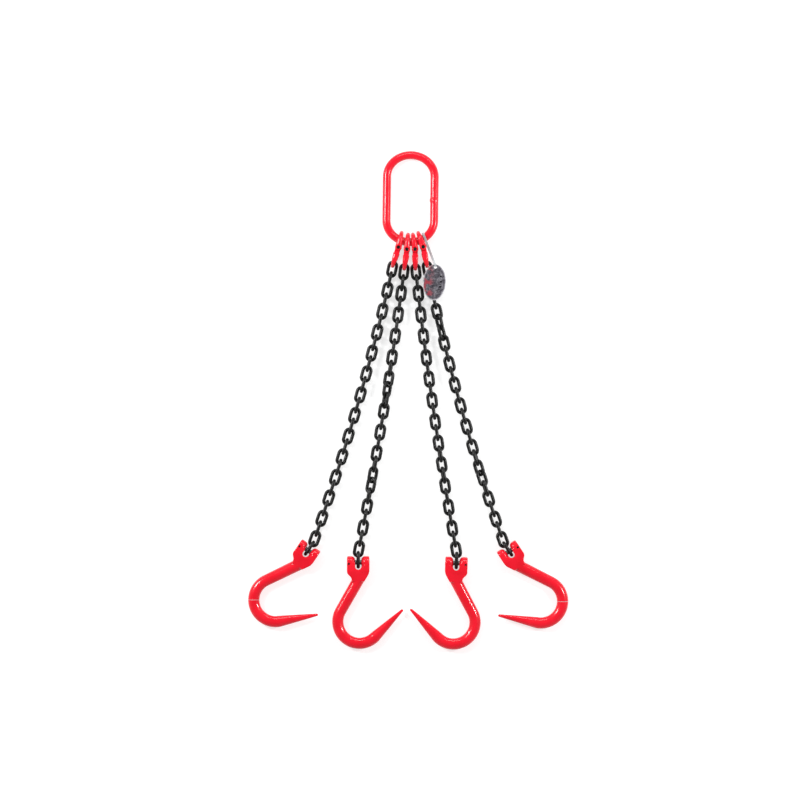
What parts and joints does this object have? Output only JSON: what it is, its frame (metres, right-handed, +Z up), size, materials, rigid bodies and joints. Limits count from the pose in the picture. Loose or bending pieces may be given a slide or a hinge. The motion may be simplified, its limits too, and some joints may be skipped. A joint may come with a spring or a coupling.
{
  "type": "four leg chain sling",
  "caption": "Chain sling lying flat: an oblong master link, connecting links, welded chain legs fanned out, and wide-throat clevis hooks with tapered points, with an oval tag on a band.",
  "frame": {"origin": "middle of the bounding box, on the surface that the sling lies on", "axes": "+Z up from the surface, +Y along the sling from the hooks towards the master link, +X to the right seen from above"},
  "size_m": [0.621, 0.9694, 0.044],
  "materials": {
    "red_coat": "gloss",
    "chain_black": "satin",
    "pin_steel": "satin",
    "tag_alloy": "satin"
  },
  "bodies": {
    "master_link": {"master_link": "red_coat"},
    "coupler_1_upper": {"coupler_1_upper_half": "red_coat", "coupler_1_load_pin": "pin_steel", "coupler_1_sleeve": "pin_steel"},
    "coupler_1_lower": {"coupler_1_lower_half": "red_coat"},
    "chain_1_run_1": {"chain_1_run_1": "chain_black"},
    "chain_1_run_2": {"chain_1_run_2": "chain_black"},
    "chain_1_run_3": {"chain_1_run_3": "chain_black"},
    "chain_1_run_4": {"chain_1_run_4": "chain_black"},
    "chain_1_run_5": {"chain_1_run_5": "chain_black"},
    "chain_1_run_6": {"chain_1_run_6": "chain_black"},
    "chain_1_run_7": {"chain_1_run_7": "chain_black"},
    "hook_1": {"hook_1_body": "red_coat", "hook_1_clevis_pin": "pin_steel", "hook_1_retaining_pin": "pin_steel"},
    "coupler_2_upper": {"coupler_2_upper_half": "red_coat", "coupler_2_load_pin": "pin_steel", "coupler_2_sleeve": "pin_steel"},
    "coupler_2_lower": {"coupler_2_lower_half": "red_coat"},
    "chain_2_run_1": {"chain_2_run_1": "chain_black"},
    "chain_2_run_2": {"chain_2_run_2": "chain_black"},
    "chain_2_run_3": {"chain_2_run_3": "chain_black"},
    "chain_2_run_4": {"chain_2_run_4": "chain_black"},
    "chain_2_run_5": {"chain_2_run_5": "chain_black"},
    "chain_2_run_6": {"chain_2_run_6": "chain_black"},
    "chain_2_run_7": {"chain_2_run_7": "chain_black"},
    "hook_2": {"hook_2_body": "red_coat", "hook_2_clevis_pin": "pin_steel", "hook_2_retaining_pin": "pin_steel"},
    "coupler_3_upper": {"coupler_3_upper_half": "red_coat", "coupler_3_load_pin": "pin_steel", "coupler_3_sleeve": "pin_steel"},
    "coupler_3_lower": {"coupler_3_lower_half": "red_coat"},
    "chain_3_run_1": {"chain_3_run_1": "chain_black"},
    "chain_3_run_2": {"chain_3_run_2": "chain_black"},
    "chain_3_run_3": {"chain_3_run_3": "chain_black"},
    "chain_3_run_4": {"chain_3_run_4": "chain_black"},
    "chain_3_run_5": {"chain_3_run_5": "chain_black"},
    "chain_3_run_6": {"chain_3_run_6": "chain_black"},
    "chain_3_run_7": {"chain_3_run_7": "chain_black"},
    "hook_3": {"hook_3_body": "red_coat", "hook_3_clevis_pin": "pin_steel", "hook_3_retaining_pin": "pin_steel"},
    "coupler_4_upper": {"coupler_4_upper_half": "red_coat", "coupler_4_load_pin": "pin_steel", "coupler_4_sleeve": "pin_steel"},
    "coupler_4_lower": {"coupler_4_lower_half": "red_coat"},
    "chain_4_run_1": {"chain_4_run_1": "chain_black"},
    "chain_4_run_2": {"chain_4_run_2": "chain_black"},
    "chain_4_run_3": {"chain_4_run_3": "chain_black"},
    "chain_4_run_4": {"chain_4_run_4": "chain_black"},
    "chain_4_run_5": {"chain_4_run_5": "chain_black"},
    "chain_4_run_6": {"chain_4_run_6": "chain_black"},
    "chain_4_run_7": {"chain_4_run_7": "chain_black"},
    "hook_4": {"hook_4_body": "red_coat", "hook_4_clevis_pin": "pin_steel", "hook_4_retaining_pin": "pin_steel"},
    "tag_band": {"tag_band": "tag_alloy"},
    "tag_plate": {"tag_plate": "tag_alloy"}
  },
  "joints": [
    {"name": "coupler_1_on_master_link", "type": "hinge", "parent": "master_link", "child": "coupler_1_upper", "pos_m": [-0.01283, 0.31177, 0.019], "axis": [-1, 0, 0], "range_deg": [0, 85]},
    {"name": "coupler_1_halves", "type": "hinge", "parent": "coupler_1_upper", "child": "coupler_1_lower", "pos_m": [-0.01621, 0.29715, 0.022], "axis": [0, 0, 1], "range_deg": [-45, 0.5]},
    {"name": "chain_1_bend_1", "type": "hinge", "parent": "coupler_1_lower", "child": "chain_1_run_1", "pos_m": [-0.0256, 0.26835, 0.01776], "axis": [1, 0, 0], "range_deg": [-25, 0]},
    {"name": "chain_1_bend_2", "type": "hinge", "parent": "chain_1_run_1", "child": "chain_1_run_2", "pos_m": [-0.04473, 0.18669, 0.012], "axis": [1, 0, 0], "range_deg": [-25, 0]},
    {"name": "chain_1_bend_3", "type": "hinge", "parent": "chain_1_run_2", "child": "chain_1_run_3", "pos_m": [-0.0654, 0.10527, 0.012], "axis": [1, 0, 0], "range_deg": [-25, 0]},
    {"name": "chain_1_bend_4", "type": "hinge", "parent": "chain_1_run_3", "child": "chain_1_run_4", "pos_m": [-0.09922, -0.0161, 0.012], "axis": [1, 0, 0], "range_deg": [-25, 0]},
    {"name": "chain_1_bend_5", "type": "hinge", "parent": "chain_1_run_4", "child": "chain_1_run_5", "pos_m": [-0.12362, -0.09648, 0.012], "axis": [1, 0, 0], "range_deg": [-25, 0]},
    {"name": "chain_1_bend_6", "type": "hinge", "parent": "chain_1_run_5", "child": "chain_1_run_6", "pos_m": [-0.1495, -0.17639, 0.012], "axis": [1, 0, 0], "range_deg": [-25, 0]},
    {"name": "chain_1_last_link", "type": "hinge", "parent": "chain_1_run_6", "child": "chain_1_run_7", "pos_m": [-0.18395, -0.27562, 0.012], "axis": [0, 0, 1], "range_deg": [-40, 2]},
    {"name": "hook_1_on_clevis_pin", "type": "hinge", "parent": "chain_1_run_7", "child": "hook_1", "pos_m": [-0.19472, -0.29128, 0.012], "axis": [-0.8241, 0.5664, 0], "range_deg": [0, 75]},
    {"name": "coupler_2_on_master_link", "type": "hinge", "parent": "master_link", "child": "coupler_2_upper", "pos_m": [0.00157, 0.30797, 0.019], "axis": [-1, 0, 0], "range_deg": [0, 85]},
    {"name": "coupler_2_halves", "type": "hinge", "parent": "coupler_2_upper", "child": "coupler_2_lower", "pos_m": [0.00044, 0.29301, 0.022], "axis": [0, 0, 1], "range_deg": [-1, 1]},
    {"name": "chain_2_bend_1", "type": "hinge", "parent": "coupler_2_lower", "child": "chain_2_run_1", "pos_m": [-0.0039, 0.26304, 0.01776], "axis": [1, 0, 0], "range_deg": [-25, 0]},
    {"name": "chain_2_bend_2", "type": "hinge", "parent": "chain_2_run_1", "child": "chain_2_run_2", "pos_m": [-0.01524, 0.17994, 0.012], "axis": [1, 0, 0], "range_deg": [-25, 0]},
    {"name": "chain_2_bend_3", "type": "hinge", "parent": "chain_2_run_2", "child": "chain_2_run_3", "pos_m": [-0.02745, 0.09683, 0.012], "axis": [1, 0, 0], "range_deg": [-25, 0]},
    {"name": "chain_2_bend_4", "type": "hinge", "parent": "chain_2_run_3", "child": "chain_2_run_4", "pos_m": [-0.04841, -0.03378, 0.012], "axis": [1, 0, 0], "range_deg": [-25, 0]},
    {"name": "chain_2_bend_5", "type": "hinge", "parent": "chain_2_run_4", "child": "chain_2_run_5", "pos_m": [-0.0628, -0.11654, 0.012], "axis": [1, 0, 0], "range_deg": [-25, 0]},
    {"name": "chain_2_bend_6", "type": "hinge", "parent": "chain_2_run_5", "child": "chain_2_run_6", "pos_m": [-0.07686, -0.19297, 0.012], "axis": [1, 0, 0], "range_deg": [-25, 0]},
    {"name": "chain_2_last_link", "type": "hinge", "parent": "chain_2_run_6", "child": "chain_2_run_7", "pos_m": [-0.09703, -0.29606, 0.012], "axis": [0, 0, 1], "range_deg": [-6, 3]},
    {"name": "hook_2_on_clevis_pin", "type": "hinge", "parent": "chain_2_run_7", "child": "hook_2", "pos_m": [-0.09703, -0.31506, 0.012], "axis": [-1, 0, 0], "range_deg": [0, 75]},
    {"name": "coupler_3_on_master_link", "type": "hinge", "parent": "master_link", "child": "coupler_3_upper", "pos_m": [0.01417, 0.30813, 0.019], "axis": [-1, 0, 0], "range_deg": [0, 25]},
    {"name": "coupler_3_halves", "type": "hinge", "parent": "coupler_3_upper", "child": "coupler_3_lower", "pos_m": [0.01625, 0.29327, 0.022], "axis": [0, 0, 1], "range_deg": [-1, 1]},
    {"name": "chain_3_bend_1", "type": "hinge", "parent": "coupler_3_lower", "child": "chain_3_run_1", "pos_m": [0.01628, 0.26297, 0.01776], "axis": [1, 0, 0], "range_deg": [-25, 0]},
    {"name": "chain_3_bend_2", "type": "hinge", "parent": "chain_3_run_1", "child": "chain_3_run_2", "pos_m": [0.02544, 0.1796, 0.012], "axis": [1, 0, 0], "range_deg": [-25, 0]},
    {"name": "chain_3_bend_3", "type": "hinge", "parent": "chain_3_run_2", "child": "chain_3_run_3", "pos_m": [0.03547, 0.0962, 0.012], "axis": [1, 0, 0], "range_deg": [-25, 0]},
    {"name": "chain_3_bend_4", "type": "hinge", "parent": "chain_3_run_3", "child": "chain_3_run_4", "pos_m": [0.05211, -0.0287, 0.012], "axis": [1, 0, 0], "range_deg": [-25, 0]},
    {"name": "chain_3_bend_5", "type": "hinge", "parent": "chain_3_run_4", "child": "chain_3_run_5", "pos_m": [0.06426, -0.11181, 0.012], "axis": [1, 0, 0], "range_deg": [-25, 0]},
    {"name": "chain_3_bend_6", "type": "hinge", "parent": "chain_3_run_5", "child": "chain_3_run_6", "pos_m": [0.07727, -0.1948, 0.012], "axis": [1, 0, 0], "range_deg": [-25, 0]},
    {"name": "chain_3_last_link", "type": "hinge", "parent": "chain_3_run_6", "child": "chain_3_run_7", "pos_m": [0.09474, -0.29838, 0.012], "axis": [0, 0, 1], "range_deg": [-3, 6]},
    {"name": "hook_3_on_clevis_pin", "type": "hinge", "parent": "chain_3_run_7", "child": "hook_3", "pos_m": [0.09401, -0.31736, 0.012], "axis": [-0.9993, 0.0384, 0], "range_deg": [0, 75]},
    {"name": "coupler_4_on_master_link", "type": "hinge", "parent": "master_link", "child": "coupler_4_upper", "pos_m": [0.02717, 0.31177, 0.019], "axis": [-1, 0, 0], "range_deg": [0, 40]},
    {"name": "coupler_4_halves", "type": "hinge", "parent": "coupler_4_upper", "child": "coupler_4_lower", "pos_m": [0.03205, 0.29758, 0.022], "axis": [0, 0, 1], "range_deg": [-0.5, 2]},
    {"name": "chain_4_bend_1", "type": "hinge", "parent": "coupler_4_lower", "child": "chain_4_run_1", "pos_m": [0.03791, 0.26787, 0.01776], "axis": [1, 0, 0], "range_deg": [-25, 0]},
    {"name": "chain_4_bend_2", "type": "hinge", "parent": "chain_4_run_1", "child": "chain_4_run_2", "pos_m": [0.05512, 0.18578, 0.012], "axis": [1, 0, 0], "range_deg": [-25, 0]},
    {"name": "chain_4_bend_3", "type": "hinge", "parent": "chain_4_run_2", "child": "chain_4_run_3", "pos_m": [0.07553, 0.09784, 0.012], "axis": [1, 0, 0], "range_deg": [-25, 0]},
    {"name": "chain_4_bend_4", "type": "hinge", "parent": "chain_4_run_3", "child": "chain_4_run_4", "pos_m": [0.10722, -0.02411, 0.012], "axis": [1, 0, 0], "range_deg": [-25, 0]},
    {"name": "chain_4_bend_5", "type": "hinge", "parent": "chain_4_run_4", "child": "chain_4_run_5", "pos_m": [0.13041, -0.10484, 0.012], "axis": [1, 0, 0], "range_deg": [-25, 0]},
    {"name": "chain_4_bend_6", "type": "hinge", "parent": "chain_4_run_5", "child": "chain_4_run_6", "pos_m": [0.15332, -0.1791, 0.012], "axis": [1, 0, 0], "range_deg": [-25, 0]},
    {"name": "chain_4_last_link", "type": "hinge", "parent": "chain_4_run_6", "child": "chain_4_run_7", "pos_m": [0.18655, -0.27875, 0.012], "axis": [0, 0, 1], "range_deg": [-2, 40]},
    {"name": "hook_4_on_clevis_pin", "type": "hinge", "parent": "chain_4_run_7", "child": "hook_4", "pos_m": [0.19693, -0.29466, 0.012], "axis": [-0.8377, -0.5461, 0], "range_deg": [0, 75]},
    {"name": "tag_band_on_master_link", "type": "hinge", "parent": "master_link", "child": "tag_band", "pos_m": [0.03487, 0.31604, 0.019], "axis": [-1, 0, 0], "range_deg": [0, 40]},
    {"name": "tag_on_band", "type": "hinge", "parent": "tag_band", "child": "tag_plate", "pos_m": [0.05493, 0.263, 0.02977], "axis": [-0.9976, 0.0698, 0], "range_deg": [0, 27.5]}
  ],
  "couplings": [
    {"joint": "tag_band_on_master_link", "follows": "coupler_4_on_master_link", "ratio": 1},
    {"joint": "tag_on_band", "follows": "chain_4_bend_1", "ratio": -1.1}
  ]
}
